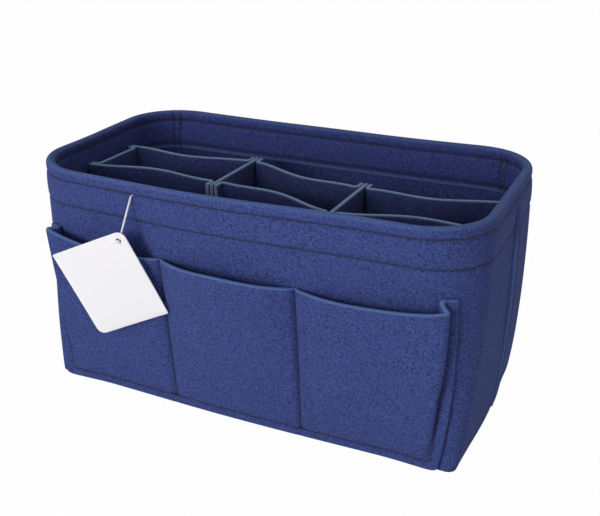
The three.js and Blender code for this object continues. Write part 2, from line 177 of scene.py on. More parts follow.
class Finish:
    """A material, or the world, under construction."""

    def __init__(self, name, made_in=bpy.data.materials):
        self.made = made_in.new(name)
        self.made.use_nodes = True
        self.tree = self.made.node_tree
        self.tree.nodes.clear()

    def node(self, kind, settings=None, sockets=None):
        node = self.tree.nodes.new(kind)
        for name, value in (settings or {}).items():
            if name == "stops":
                ramp = node.color_ramp.elements
                for element, (place, grey) in zip(ramp, value):
                    element.position, element.color = place, (grey, grey, grey, 1)
            else:
                setattr(node, name, value)
        for name, value in (sockets or {}).items():
            socket = find_socket(node.inputs, name)
            if isinstance(value, Wire):
                self.tree.links.new(value.socket, socket)
            else:
                socket.default_value = value
        return node

    def wire(self, node, output):
        return Wire(self, find_socket(node.outputs, output))

    def place(self):
        return self.wire(self.node("ShaderNodeTexCoord"), "Object")

    def noise(self, place, size_mm, detail=2.0, twist=0.0):
        settings = {"noise_dimensions": "3D"}
        sockets = {"Vector": place, "Scale": 1 / (size_mm * MM), "Detail": detail, "Distortion": twist}
        return self.wire(self.node("ShaderNodeTexNoise", settings, sockets), "Fac")

    def ramp(self, value, *stops):
        return self.wire(self.node("ShaderNodeValToRGB", {"stops": stops}, {"Fac": value}), "Color")

    def blend(self, share, under, over):
        sockets = {"Factor_Float": share, "A_Color": under, "B_Color": over}
        node = self.node("ShaderNodeMix", {"data_type": "RGBA"}, sockets)
        return self.wire(node, "Result_Color")

    def bump(self, height, depth_mm, strength):
        sockets = {"Height": height, "Distance": depth_mm * MM, "Strength": strength}
        return self.wire(self.node("ShaderNodeBump", None, sockets), "Normal")

    def surface(self, sockets):
        shader = self.node("ShaderNodeBsdfPrincipled", None, sockets)
        return self.close(shader, "ShaderNodeOutputMaterial")

    def looked_at(self):
        """1 for what the camera sees, also in a reflection or through something clear."""
        path = self.node("ShaderNodeLightPath")
        return (self.wire(path, "Is Camera Ray") + self.wire(path, "Is Glossy Ray")
                + self.wire(path, "Is Transmission Ray"))

    def either(self, share, under, over):
        """A mix of two shaders."""
        return self.node("ShaderNodeMixShader", None, {
            0: share, 1: self.wire(under, 0), 2: self.wire(over, 0)})

    def close(self, shader, kind):
        self.node(kind, None, {"Surface": self.wire(shader, 0)})
        return self.made


def shade(red, green, blue):
    """A colour as seen on a screen, 0 to 255, in the linear numbers that shaders use."""
    parts = [value / 255 for value in (red, green, blue)]
    return (*(p / 12.92 if p < 0.04 else ((p + 0.055) / 1.055) ** 2.4 for p in parts), 1.0)


def plain_finish(name, grain_mm, stops, shades, sockets, detail=2.0, twist=0.0, bump=None):
    """A finish that wavers between two shades."""
    finish = Finish(name)
    grain = finish.noise(finish.place(), grain_mm, detail, twist)
    colour = finish.blend(finish.ramp(grain, *stops), *shades)
    relief = {"Normal": finish.bump(grain, *bump)} if bump else {}
    return finish.surface({"Base Color": colour, **relief, **sockets})


print("navy in linear light", [round(c, 3) for c in shade(61, 73, 126)])

# %% [markdown]
# ## Felt
# Pressed felt is a mat of short fibres in a few shades, so up close it is mottled at about a
# millimetre, with paler fibres that lie across each other. Cut edges show the ends of the fibres
# and are painted paler than the pressed faces: partly their own colour, partly a painted highlight
# where a rounded edge catches the light. An image of felt would do, but noise at real sizes needs
# no file and has no seams: one noise for the mottling, a twisted one for the fibres and a large
# one for uneven dye. A point attribute named cut, made with each mesh, marks the cut edges and
# the painted highlights.

# %% The felt finish
DEEP, BRIGHT = 0.5, 1.55         # darkest and lightest mottling, as shares of the felt's colour


def tinted(colour, level):
    return (*(level * part for part in colour[:3]), 1.0)


def felt_finish(name, navy, pale, edge):
    finish = Finish(name)
    place = finish.place()
    mottle = finish.noise(place, 1.3, detail=3.0, twist=0.6)
    fibre = finish.noise(place, 0.65, detail=2.0, twist=2.2)
    dye = finish.noise(place, 26.0, detail=1.0)
    cut = finish.wire(finish.node("ShaderNodeAttribute", {"attribute_name": "cut"}), "Fac")
    light = finish.ramp(mottle, (0.34, 0.0), (0.66, 1.0))
    ground = finish.blend(light, tinted(navy, DEEP), tinted(navy, BRIGHT))
    dyed = finish.blend(finish.ramp(dye, (0.3, 0.0), (0.7, 0.35)), ground, navy)
    threads = finish.ramp(fibre, (0.55, 0.0), (0.74, 0.6))
    flecked = finish.blend(threads, dyed, pale)
    # cut edges are paler: partly their own colour, partly a painted highlight where they catch the light
    frayed_edge_and_highlight = cut * (1 - 0.45 * finish.ramp(fibre, (0.3, 1.0), (0.6, 0.0)))
    colour = finish.blend(frayed_edge_and_highlight, flecked, edge)
    relief = finish.bump(mottle * 0.5 + fibre * 0.5, 0.7, 0.55)
    return finish.surface({
        "Base Color": colour, "Normal": relief, "Roughness": 0.95, "Specular IOR Level": 0.15,
        "Sheen Weight": 0.03, "Sheen Roughness": 0.6, "Sheen Tint": (0.45, 0.52, 0.85, 1.0)})


# The facing and the row are cut from the body's felt: their darker navy is painted shade for the dim
# inside, and the row's paler, greyer edge colour is a painted highlight where its top edges catch the
# light.
felts = {name: felt_finish(name, *shades) for name, shades in {
    "body_felt": (shade(55, 68, 127), shade(124, 134, 172), shade(96, 125, 178)),
    "facing_felt": (shade(49, 58, 114), shade(92, 104, 150), shade(92, 118, 166)),
    "divider_felt": (shade(47, 57, 102), shade(86, 98, 140), shade(128, 152, 186))}.items()}
print("felt finishes", *felts)

# %% [markdown]
# ## A piece of felt
# Each panel is a sheet with two faces and a cut edge. A Solidify modifier would thicken a surface,
# but it gives every edge the same square corner. Here the middle of the felt is a grid of points;
# both faces are set off from it along its normals, and drawn in near a cut edge, where shears
# leave felt a little rounded. Rows of points lie closer together where something happens, such
# as at an edge or beside a row of stitches.

# %% Grids of points
EDGE_REACH, EDGE_ROUND = 1.1, 0.5   # a cut edge is drawn in over this width, by this much
EDGE_STEP, CLOSEST = 0.35, 0.25  # from an edge to the next row of points, and between any two rows
BESIDE = (0.0, 0.8, 1.7, 3.0)    # rows of points on both sides of a line of stitches


def spread(low, high, step, marks=()):
    """Even places from low to high, with closer ones beside each mark and at both ends."""
    places = list(np.linspace(low, high, max(round((high - low) / step), 1) + 1))
    places += [low + EDGE_STEP, low + EDGE_REACH, high - EDGE_STEP, high - EDGE_REACH]
    for mark in marks:
        places += [mark + side * far for far in BESIDE for side in (-1, 1)]
    kept = [low]
    for place in sorted(p for p in places if low < p < high):
        if place - kept[-1] > CLOSEST and high - place > CLOSEST:
            kept.append(place)
    return np.array([*kept, high])


def unit(vectors):
    return vectors / np.maximum(np.linalg.norm(vectors, axis=-1, keepdims=True), 1e-9)


def grid_normals(middle, closed=False):
    ring = np.concatenate([middle[-1:], middle, middle[:1]]) if closed else middle
    across = np.gradient(ring, axis=0)
    across = across[1:-1] if closed else across
    return unit(np.cross(across, np.gradient(middle, axis=1)))


def gaps(points, axis=0):
    return np.linalg.norm(np.diff(points, axis=axis), axis=-1)


def travel(points, axis=0):
    """How far each point lies from the first one, along the path."""
    steps = gaps(points, axis)
    first = np.zeros_like(np.take(steps, [0], axis=axis))
    return np.concatenate([first, np.cumsum(steps, axis=axis)], axis=axis)


def at_places(values, travelled, places):
    """What is given at the points of a path, at other places along it."""
    return np.stack([np.interp(places, travelled, column) for column in values.T], axis=-1)


def edge_distances(middle):
    """How far each point of a grid is from its left, right, low and high edges."""
    found = {}
    for axis, names in ((0, "lr"), (1, "bt")):
        travelled = travel(middle, axis)
        found[names[0]] = travelled
        found[names[1]] = np.take(travelled, [-1], axis=axis) - travelled
    return found


def felt_faces(middle, edges="lrbt", outer_shift=0.0, inner_shift=0.0, closed=False,
               thickness=FELT, reach=EDGE_REACH, rounding=EDGE_ROUND, pale=0.6):
    """Both faces of a sheet, and how pale each point is painted near a cut edge."""
    normal = grid_normals(middle, closed)
    distances = edge_distances(middle)
    nearest = np.min([distances[name] for name in edges], axis=0)
    ease = rounding * np.clip(1 - nearest / reach, 0, 1) ** 2
    outer = middle + normal * (thickness / 2 - ease + outer_shift)[..., None]
    inner = middle - normal * (thickness / 2 - ease + inner_shift)[..., None]
    return outer, inner, np.clip(1.1 - nearest / pale, 0, 1)


print("places beside a mark", np.round(spread(0, 20, 10, [8]), 2))

# %% [markdown]
# ## From grids to meshes
# The two faces and the four edges are joined into one closed mesh with shared points. A mesh that
# goes all the way round, such as the floor, has its last column joined to its first. Points that
# fall together are welded. The wall of a soft box is never quite true. A cloth simulation would find
# a shape of its own, but here it has to be the photographed one, so all that is sewn to the wall is
# pushed about by one slow function: neighbours move together and stay clear of each other.

# %% Settling
END_SWELL = (1.8, 3.6)           # the left and right ends swell out
SIDE_DRAW = 1.5                  # the long sides draw in
FOOT_SWELL = 2.2                 # at the floor, the right end bows out
RIM_SHIFT = 2.0                  # the middle of the rim's long sides moves towards the front
BACK_RISE = 2.2                  # the back corners of the rim stand a little higher
CORNER_DRAW = 2.4                # the front left corner is drawn in
CORNER_FOOT = 1.9                # at the floor, the front corners stand forward
DIAGONAL = 0.7                   # share of a move along a corner's diagonal that goes each way
RIM_WAVE, WAVER = 0.5, 0.4       # the rim rises and falls, and goes in and out
ROW_RISE = 0.018                 # share by which the loose row is higher at its left end


def settled(points):
    """Sewn felt relaxes. What is given to smooth are places on the box, in millimetres."""
    x, y, z = np.moveaxis(points, -1, 0)
    rise = np.clip(z / HEIGHT, 0, 1)
    halfway, lower = (4 * share * (1 - share) for share in (rise, rise**0.8))
    middle = np.cos(math.pi / 2 * np.clip(np.abs(x) / 106, 0, 1)) ** 2 * smooth(np.abs(y), 40, 60)
    end_middle = np.cos(math.pi / 2 * np.clip(y / 66, -1, 1)) ** 2
    waver = WAVER * rise * middle * np.sin(x / 31 + 1.1 + 0.6 * np.sign(y))
    swell_out = np.where(x < 0, *END_SWELL) * lower + (x > 0) * FOOT_SWELL * end_middle * (1 - rise) ** 3
    draw_in = SIDE_DRAW * halfway * smooth(np.abs(y), 40, 66)
    corner_in = CORNER_DRAW * smooth(x, -90, -135) * smooth(y, -30, -70) * smooth(rise, 0.2, 0.7)
    foot_out = CORNER_FOOT * smooth(np.abs(x), 95, 140) * smooth(y, -30, -60) * (1 - rise) ** 2
    wave = RIM_WAVE * np.sin(x / 43 + y / 90 + 0.9)
    lift = wave + BACK_RISE * smooth(y, -30, 70) * smooth(np.abs(x), 30, 150)
    drawn = DIAGONAL * corner_in
    moved_x = x + np.sign(x) * swell_out * smooth(np.abs(x), 90, 140) + drawn
    moved_y = y - np.sign(y) * (draw_in + waver) - RIM_SHIFT * rise * middle + drawn - foot_out
    return np.stack([moved_x, moved_y, z + lift * rise**3], axis=-1)


def uneven(points):
    """The loose row doesn't stand quite level: its left end is a little higher."""
    x, y, z = np.moveaxis(points, -1, 0)
    return np.stack([x, y, z * (1 + ROW_RISE * smooth(x, -46, -135))], axis=-1)


RELAXED = {"shell": settled, "divider": uneven}
moved = settled(wall_point(0, HEIGHT)) - wall_point(0, HEIGHT)
print("the middle of the front rim moves by", np.round(moved, 1), "mm")

# %% Joining and adding a piece
WELD, SLIVER, SHARP = 0.01, 0.002, 60   # millimetres, millimetres and degrees


def sheet_faces(columns, rows, closed):
    def quads(a, b, c, d):
        return np.stack([a.ravel(), b.ravel(), c.ravel(), d.ravel()], axis=-1)

    index = np.arange(columns * rows).reshape(columns, rows)
    if closed:
        index = np.concatenate([index, index[:1]])
    back = index + columns * rows
    found = [quads(index[:-1, :-1], index[1:, :-1], index[1:, 1:], index[:-1, 1:]),
             quads(back[:-1, :-1], back[:-1, 1:], back[1:, 1:], back[1:, :-1]),
             quads(back[:-1, 0], back[1:, 0], index[1:, 0], index[:-1, 0]),
             quads(index[:-1, -1], index[1:, -1], back[1:, -1], back[:-1, -1])]
    if not closed:
        found += [quads(back[0, :-1], index[0, :-1], index[0, 1:], back[0, 1:]),
                  quads(index[-1, :-1], back[-1, :-1], back[-1, 1:], index[-1, 1:])]
    return np.concatenate(found)


def add_mesh(name, points, faces, finish, body, cut=None):
    mesh = bpy.data.meshes.new(name)
    mesh.from_pydata((np.asarray(points) * MM).tolist(), [], [list(map(int, f)) for f in faces])
    if cut is not None:
        mesh.attributes.new("cut", "FLOAT", "POINT").data.foreach_set("value", np.ravel(cut))
    welded = bmesh.new()
    welded.from_mesh(mesh)
    bmesh.ops.remove_doubles(welded, verts=welded.verts, dist=WELD * MM)
    bmesh.ops.dissolve_degenerate(welded, edges=welded.edges, dist=SLIVER * MM)
    bmesh.ops.recalc_face_normals(welded, faces=welded.faces)
    welded.to_mesh(mesh)
    welded.free()
    mesh.shade_smooth()
    mesh.set_sharp_from_angle(angle=math.radians(SHARP))
    mesh.materials.append(finish)
    piece = bpy.data.objects.new(name, mesh)
    bpy.context.scene.collection.objects.link(piece)
    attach(piece, body)
    return piece


def add_felt(node, middle, felt, body, held=None, rests_on=None, edges="lrbt", fade=1, painted_highlight=0,
             closed=False, **shape):
    """One panel. Only a panel that doesn't go all the way round has its cut size printed."""
    outer, inner, cut = felt_faces(middle, edges, closed=closed, **shape)
    # a painted highlight, such as the top of the rim, is added to the pale cut-edge mask
    cut = cut * fade + painted_highlight
    points = RELAXED[body](np.concatenate([outer.reshape(-1, 3), inner.reshape(-1, 3)]))
    faces = sheet_faces(*middle.shape[:2], closed)
    piece = add_mesh(f"felt_{node}", points, faces, felts[felt], body, cut=[cut, cut])
    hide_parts(node)
    print(f"{node}: {len(piece.data.vertices)} points")
    if not closed:
        across, upward = gaps(middle, 0).sum(axis=0).max(), gaps(middle, 1).sum(axis=1).max()
        corners = np.cross(middle[1:, 1:] - middle[:-1, :-1], middle[:-1, 1:] - middle[1:, :-1])
        print(f"  cut {across:.0f} x {upward:.0f} mm")
    return piece


# %% [markdown]
# ## Thread
# Lockstitch shows as a row of short, slightly arched lengths of thread that dive into the felt at
# both ends. A dotted texture could stand for it, but thread that stands in its own groove catches
# light and shade by itself. One stitch is a capsule of six sides; a whole row is made at once by
# setting stations along a path, so a thousand stitches cost no more code than one.

# %% The thread's finish and a row of stitches
STITCH_PITCH, STITCH_LENGTH, THREAD_RADIUS = 3.6, 3.4, 0.5
STITCH_SIDES = 6
STITCH_ARCH, STITCH_DIVE = 0.55, 0.28
STATIONS = np.array([0.0, 0.1, 0.28, 0.5, 0.72, 0.9, 1.0])
SWELL = np.array([0.45, 0.85, 1.0, 1.0, 1.0, 0.85, 0.45])
sewing_thread = plain_finish(
    "sewing_thread", 0.35, ((0.35, 0.0), (0.7, 1.0)), (shade(13, 16, 36), shade(28, 34, 70)),
    {"Roughness": 0.7}, twist=1.0, bump=(0.15, 0.4))


def tube_faces(count, stations, sides):
    """Faces of several tubes of rings that follow each other in one list of points."""
    found = []
    for tube in range(count):
        first = tube * stations * sides
        for ring in range(stations - 1):
            low = first + ring * sides
            found += [[low + k, low + (k + 1) % sides, low + sides + (k + 1) % sides, low + sides + k]
                      for k in range(sides)]
        last = first + (stations - 1) * sides
        found += [list(range(first, first + sides))[::-1], list(range(last, last + sides))]
    return found


def joined(parts):
    """The points and faces of several parts as one list each."""
    points, faces, first = [], [], 0
    for part_points, part_faces in parts:
        points.append(part_points)
        faces += [[first + i for i in face] for face in part_faces]
        first += len(part_points)
    return np.concatenate(points), faces


def stitch_row(path, normals):
    """Points and faces of the stitches along a path that lies on the felt's surface."""
    travelled = travel(path)
    count = max(int(travelled[-1] / STITCH_PITCH), 1)
    starts = (np.arange(count) + 0.5) * travelled[-1] / count
    stations = starts[:, None] + (STATIONS - 0.5) * STITCH_LENGTH
    at = at_places(path, travelled, stations)
    up = unit(at_places(normals, travelled, stations))
    along = unit(at[:, -1:] - at[:, :1])
    side = unit(np.cross(along, up))
    arch = STITCH_ARCH * np.sin(math.pi * STATIONS) - STITCH_DIVE
    at = at + up * arch[:, None]
    turns = np.arange(STITCH_SIDES) * 2 * math.pi / STITCH_SIDES
    ring = up[:, :, None] * np.cos(turns)[:, None] + side[:, :, None] * np.sin(turns)[:, None]
    points = (at[:, :, None] + ring * (SWELL * THREAD_RADIUS)[:, None, None]).reshape(-1, 3)
    return points, tube_faces(count, len(STATIONS), STITCH_SIDES)


def add_stitches(name, rows, body):
    points, faces = joined([stitch_row(*row) for row in rows])
    piece = add_mesh(name, RELAXED[body](points), faces, sewing_thread, body)
    print(f"{name}: {len(points) // (STITCH_SIDES * len(STATIONS))} stitches")


def wall_path(run, height, out):
    """A path of stitches on the wall, with the direction that it faces."""
    path = wall_point(run, height, out)
    return path, unit(wall_point(run, height, np.asarray(out) + 1.0) - path)


def turned(row):
    """A path and its directions, on the other side of the box."""
    return tuple(turned_by(part, -1) for part in row)


# %% [markdown]
# ## The wall halves
# Two strips of felt make the wall. Each goes along a long side and round two corners, and they lap
# a little behind the middle of each end, the back one outside. The lap is sewn and pressed, mostly
# at the rim and the hem. At the rim the wall's felt and the facing's felt are rolled together into
# one round edge. Two rows of stitches pull the felt in, and it swells a little between them. Bevels
# could round the rim, but a grid that knows its heights can roll, groove and swell in one step.

# %% How the wall is rolled, grooved and lapped
LAP = 5.0                        # how far each half goes past the middle of the lap
LAP_LOW, LAP_HIGH = 17.0, 7.0    # how far that is behind an end's middle, at the floor and the rim
LAP_EASE, LAP_GAP = 18.0, 0.6    # the outer half climbs over this run, and starts this far before
LAP_SIDE = 4.0                   # from the outer half's edge to the row of stitches beside it
LAP_PRESSED, RIM_PRESSED, HEM_PRESSED = 0.3, 0.65, 0.45   # everywhere, and more at the rim and the hem
LAP_HIGHLIGHT = 1.6                   # width of the painted highlight along the outer half's edge, where its cut face catches the light
GROOVE, GROOVE_WIDE = 1.2, 1.1   # a row of stitches pulls the felt in
PUFF = 0.45                      # and it swells between two rows
RIM_HIGHLIGHT = 0.35                  # painted highlight: the top of the rolled edge is painted paler, where light from above falls
ROLL_LEFT = 0.02                 # felt that is left at the very top of the roll
roll_angles = np.linspace(0, math.pi / 2, 8)


def groove(distance):
    return GROOVE * np.exp(-((distance / GROOVE_WIDE) ** 2))


def rim_rows(height):
    """How far the two rows of stitches round the rim pull the felt in."""
    return groove(height - FACING_LINE) + groove(height - RIM_LINE)


def up_to_rim(low, step):
    """Heights for the rows of a grid, close together where the rim is rolled."""
    below = spread(low, HEIGHT - FELT, step, [FACING_LINE, RIM_LINE])[:-1]
    return np.concatenate([below, HEIGHT - FELT + FELT * np.sin(roll_angles)])


def puff(height):
    share = np.clip((height - FACING_LINE) / (RIM_LINE - FACING_LINE), 0, 1)
    return PUFF * np.sin(math.pi * share)


def rolled(height):
    """How far a layer's free face is set back where the rim is rolled."""
    rise = np.clip((height - HEIGHT + FELT) / FELT, 0, 1)
    return np.minimum(FELT * (1 - np.sqrt(1 - rise**2)), FELT - ROLL_LEFT)


# Painted highlight: the top of the rolled rim is painted paler, where light from above falls on it.
def rim_painted_highlight(height):
    return RIM_HIGHLIGHT * smooth(height, HEIGHT - 2.5, HEIGHT - 0.6)


def lap_shift(height):
    return mixed(LAP_LOW, LAP_HIGH, height / HEIGHT)


def climb(run, height):
    """How far the back half climbs over the front half."""
    before = half_run(height) - np.abs(run) - LAP - lap_shift(height) - LAP_GAP
    at_rim = RIM_PRESSED * smooth(height, FACING_LINE - 10, HEIGHT - 5)
    pressed = LAP_PRESSED + at_rim + HEM_PRESSED * smooth(height, 80, 0)
    return LAYER * (1 - pressed) * (1 - smooth(before, 0, LAP_EASE))


def to_lap(run, height, past):
    """Runs of -1 to 1, stretched so that both ends lie so far past the middle of an end."""
    return run * (half_run(height) + past)


print("climb over the lap at mid height", round(float(climb(half_run(75.0), 75.0)), 1), "mm")

# %% Wall halves
wall_heights = up_to_rim(0, 4.0)
lap_marks = (LAP_SIDE - CORNER_RUN, CORNER_RUN - LAP_SIDE)
marks = spread(-CORNER_RUN, CORNER_RUN, 2.2, lap_marks) / CORNER_RUN
for name, turn in (("front_shell", 1), ("back_shell", -1)):
    run, height = np.meshgrid(marks, wall_heights, indexing="ij")
    past = LAP + turn * lap_shift(height)
    run = to_lap(run, height, past)
    over = seam = fade = 0
    if turn < 0:
        over = climb(run, height)
        fade = 1 - smooth(height, FACING_LINE - 15, FACING_LINE + 5)
        seam = groove(np.abs(run) - half_run(height) - past + LAP_SIDE)
    middle = turned_by(wall_point(run, height, over - FELT / 2), turn)
    shape = puff(height) - rim_rows(height) - seam - rolled(height)
    add_felt(name, middle, "body_felt", "shell", "stretched", ["base_panel"], edges="lr", fade=fade,
             painted_highlight=rim_painted_highlight(height), outer_shift=shape, pale=LAP_HIGHLIGHT)

# %% [markdown]
# ## The facing inside the rim
# A band of felt 28 mm high is sewn inside the rim. It is made of a long piece round the front and
# the ends and a short one across the back. Their ends butt together near the back corners, with a
# row of stitches on each side of the joint. It is the wall's own sheet again, one layer further in,
# with the roll on its inner face.

# %% Facing bands
FACING_SEAM = float(RIM_LENGTH / 2 - RIM_CORNER + RIM_CORNER * math.radians(28))
facing_heights = up_to_rim(FACING_LOW, 3.0)
SEAM_SIDE, SEAM_GAP = 3.0, 0.3   # from a joint to its row of stitches, and between the two ends
FACING_OUT = 0.25 - LAYER        # the facing's hidden face, which is pressed against the wall
FACING_DEEP = 1.35               # the facing's rows pull its felt in further than the wall's rows do
FACING_PUFF = 0.6                # and it swells less between them
# painted highlight: the facing's rounded lower edge is painted pale over this width, where it catches
# the light
FACING_HIGHLIGHT = 1.8
long_end = 2 * CORNER_RUN - FACING_SEAM - SEAM_GAP
for name, end, turn in (("rim_facing_front", long_end, 1), ("rim_facing_back", FACING_SEAM, -1)):
    line = end - SEAM_SIDE
    run, height = np.meshgrid(spread(-end, end, 2.2, [-line, line]), facing_heights, indexing="ij")
    middle = turned_by(wall_point(run, height, FACING_OUT - FELT / 2), turn)
    rows = FACING_DEEP * rim_rows(height) + groove(np.abs(run) - line)
    shape = FACING_PUFF * puff(height) - rows - rolled(height)
    add_felt(name, middle, "facing_felt", "shell", "stretched", ["front_shell", "back_shell"],
             edges="b", painted_highlight=rim_painted_highlight(height), inner_shift=shape, pale=FACING_HIGHLIGHT)

# %% [markdown]
# ## The floor
# The floor is one panel whose edge is turned up 9 mm inside the walls and sewn through them. As a
# grid, each column runs from the middle of the floor outwards, round the fold and up the lip, and
# the columns go all the way round.

# %% Floor
FLOOR_FOLD = 1.0                 # radius of the fold, along the middle of the felt
LIP_HEIGHTS = (4.0, HEM_LINE, 6.0, 7.9, 8.65, 9.0)
FLAT_SHARES = (0.0, 0.2, 0.4, 0.6, 0.8, 0.92, 0.98, 1.0)
fold_turns = np.linspace(0, math.pi / 2, 6)[1:]
ring_runs = spread(-CORNER_RUN, CORNER_RUN, 3.0)[:-1]
lip_out = -LAYER - FELT / 2


def floor_column(run, turn):
    foot = wall_point(run, FELT / 2, lip_out - FLOOR_FOLD)
    flat = [foot * np.array([share, share, 1.0]) for share in FLAT_SHARES]
    rises, outs = FLOOR_FOLD * (1 - np.cos(fold_turns)), FLOOR_FOLD * (1 - np.sin(fold_turns))
    bend = wall_point(run, FELT / 2 + rises, lip_out - outs)
    return turned_by(np.array([*flat, *bend, *wall_point(run, LIP_HEIGHTS, lip_out)]), turn)


middle = np.array([floor_column(run, turn) for turn in (1, -1) for run in ring_runs])
floor_felt = add_felt("base_panel", middle, "body_felt", "shell", edges="t", closed=True)

# %% [markdown]
# ## The outside pockets
# Each long side carries one strip, sewn down along its bottom, at two upright seams and at its
# ends. Between the seams it stands off the wall and opens at the top. Cloth simulation could puff
# it out, but a sewn strip of stiff felt has a plain law: no room at a seam, most room midway, none
# at the hem, and more towards the mouth. At its ends the strip comes sharply back to the wall and
# ends in a flat flange.

# %% The law of a pocket strip
POCKET_TOP, POCKET_CROWN, POCKET_END_LIFT, POCKET_FOOT_LIFT = 106.5, 2.0, 6.0, 7.9
POCKET_TILT = 1.2                # the strip was sewn on a little askew: its left side is higher
POCKET_SEAM = 45.5
POCKET_ROOM, POCKET_END_ROOM = 10.5, 8.0
POCKET_FULL = (1.35, 3.2)        # the right pocket has kept its depth better than the other two
POCKET_FLANGE, POCKET_FOLD = 6.5, 2.2
POCKET_FOOT = 128.0              # the strip's ends meet the wall here
DRIFT_LOW, DRIFT_HIGH, DRIFT_BEND = -1.3, 2.1, 0.6   # but less far out at the hem than at the mouth
FLANGE_ROUND = 2.0               # the flange's lower corner is cut round
POCKET_OVERHANG = 3.2            # at the mouth, the front stands out past the foot of the gusset
HEM = 6.0
FLANGE_ROW = 3.15                # mark of the row of stitches on a flange
SEAM_DEEP, SEAM_WIDE = 1.5, 1.4  # upright seams pull the felt in further than other rows do


def swell(share):
    return 1 - (1 - np.sin(math.pi * share)) ** 1.6


def opened(height, top, fullness):
    """Share of the mouth's room that there is at a height."""
    return 1 - (1 - np.clip((height - HEM) / (top - HEM), 0, 1)) ** fullness


def strip_lift(mark):
    """How far the top edge rises above its height at the upright seams."""
    far = np.abs(mark)
    crown = POCKET_CROWN * np.cos(math.pi / 2 * np.clip(far, 0, 1))
    end = POCKET_END_LIFT * np.clip(far - 1, 0, 1) ** 4
    return mixed(crown + end - POCKET_TILT * mark, POCKET_FOOT_LIFT, smooth(far, 2, 3))


def gusset_path(share, room):
    """Run past the foot, and room, along a strip's end, which folds back from the front to the wall."""
    width = 2 * POCKET_FOLD
    level = np.maximum(room - width, 0)
    arc = POCKET_FOLD * math.pi / 2
    gone = share * (2 * arc + level)
    first = np.minimum(gone, arc) / POCKET_FOLD
    last = np.maximum(gone - arc - level, 0) / POCKET_FOLD
    down = np.clip(gone - arc, 0, level)
    folded = POCKET_FOLD * (np.sin(first) + 1 - np.cos(last))
    left = width + level - down - POCKET_FOLD * (1 - np.cos(first) + np.sin(last))
    shut = np.minimum(room / width, 1)
    overhang = POCKET_OVERHANG * room / POCKET_END_ROOM * (1 - smooth(share, 0, 1))
    return mixed(width * share, folded, shut) - width + overhang, left * shut


def strip_middle(mark, share):
    """The middle of a strip's felt, and its run along the wall. Marks count a strip's stretches: 0 to 1
    from its middle to a seam, 1 to 2 to the end of the front, 2 to 3 the gusset, 3 to 4 the flange."""
    far = np.abs(mark)
    top = POCKET_TOP + strip_lift(mark)
    height = mixed(FLANGE_ROUND * (1 - np.sqrt(1 - np.clip(far - 3, 0, 1) ** 2)), top, share)
    mouth = opened(height, top, np.where(mark > 1, POCKET_FULL[1], POCKET_FULL[0]))
    end_room = POCKET_END_ROOM * mouth
    foot = POCKET_FOOT + mixed(DRIFT_LOW, DRIFT_HIGH, share**DRIFT_BEND) * np.sign(mark)
    past_foot, gusset_room = gusset_path(np.clip(far - 2, 0, 1), end_room)
    front_end = foot + gusset_path(0 * far, end_room)[0]
    stretch = [far <= 1, far <= 2, far <= 3]
    run = np.sign(mark) * np.select(
        stretch, [POCKET_SEAM * far, mixed(POCKET_SEAM, front_end, far - 1), foot + past_foot],
        foot + POCKET_FLANGE * (far - 3))
    middle_room = POCKET_ROOM * mouth * swell(far / 2 + 0.5)
    side_room = end_room * swell(np.minimum((far - 1) * 0.9, 0.5))
    room = np.select(stretch, [middle_room, side_room, gusset_room], 0 * far)
    return wall_point(run, height, LAYER - FELT / 2 + room), run


print("room in the middle pocket's mouth", POCKET_ROOM, "mm")

# %% Pocket strips
bays = np.concatenate([
    np.linspace(0, 0.9, 19), [0.94, 0.97, 0.985], [1, 1.015, 1.03, 1.06], np.linspace(1.1, 2, 24)[:-1],
    np.linspace(2, 3, 17)[:-1], [3, 3.2, 3.4, 3.6, 3.8, 3.9, 3.96, 4]])
marks = np.concatenate([-bays[:0:-1], bays])
shares = spread(0, POCKET_TOP, 4.0, [HEM_LINE]) / POCKET_TOP
mark, share = np.meshgrid(marks, shares, indexing="ij")
strip = strip_middle(mark, share)[0]
far = np.abs(mark)
above_floor = share * POCKET_TOP
from_seam = (far - 1) * np.where(far < 1, POCKET_SEAM, POCKET_FOOT - POCKET_SEAM)
uprights = groove((far - FLANGE_ROW) * POCKET_FLANGE) + SEAM_DEEP * groove(from_seam / SEAM_WIDE)
lines = groove(above_floor - HEM_LINE) * (far < 3) + uprights * smooth(above_floor, -1, HEM_LINE)
for side, turn in (("front", 1), ("back", -1)):
    add_felt(f"{side}_pocket_strip", turned_by(strip, turn), "body_felt", "shell", "gathered",
             [f"{side}_shell"], fade=np.where(far > 3, 0.6, 1), outer_shift=-lines)

# %% [markdown]
# ## Stitches on the box
# Rows of thread follow the same functions as the felt, a little below its surface, where the
# grooves are.

# %% Rows of stitches on the box
def strip_path(marks, shares, outward):
    """A path of stitches on a pocket strip."""
    path, run = strip_middle(marks, shares)
    normals = unit(wall_point(run, path[:, 2], 1.0) - wall_point(run, path[:, 2]))
    return path + normals * outward, normals


SUNK = GROOVE - 0.15
LAP_CLEAR = 0.8                  # rows stop this far before the lap's edge
facing_inside = FACING_OUT - FELT
around = np.linspace(-1, 1, 300)
wall_rows, facing_rows, pocket_rows = [], [], []
for line in (RIM_LINE, FACING_LINE):
    front_run = to_lap(around, line, lap_shift(line) - LAP - LAP_CLEAR)
    back_run = to_lap(around, line, LAP - lap_shift(line) - LAP_CLEAR)
    wall_rows.append(wall_path(front_run, line, -SUNK))
    wall_rows.append(turned(wall_path(back_run, line, climb(back_run, line) - SUNK)))
    inside = wall_path(around * CORNER_RUN, line, facing_inside + SUNK * FACING_DEEP)
    facing_rows += [(path, -normals) for path, normals in (inside, turned(inside))]
upright = np.linspace(2, HEIGHT - 5, 60)
seam_heights = np.linspace(FACING_LOW + 1.5, HEIGHT - 3, 20)
seam_share = np.linspace(HEM_LINE / POCKET_TOP, 0.985, 60)
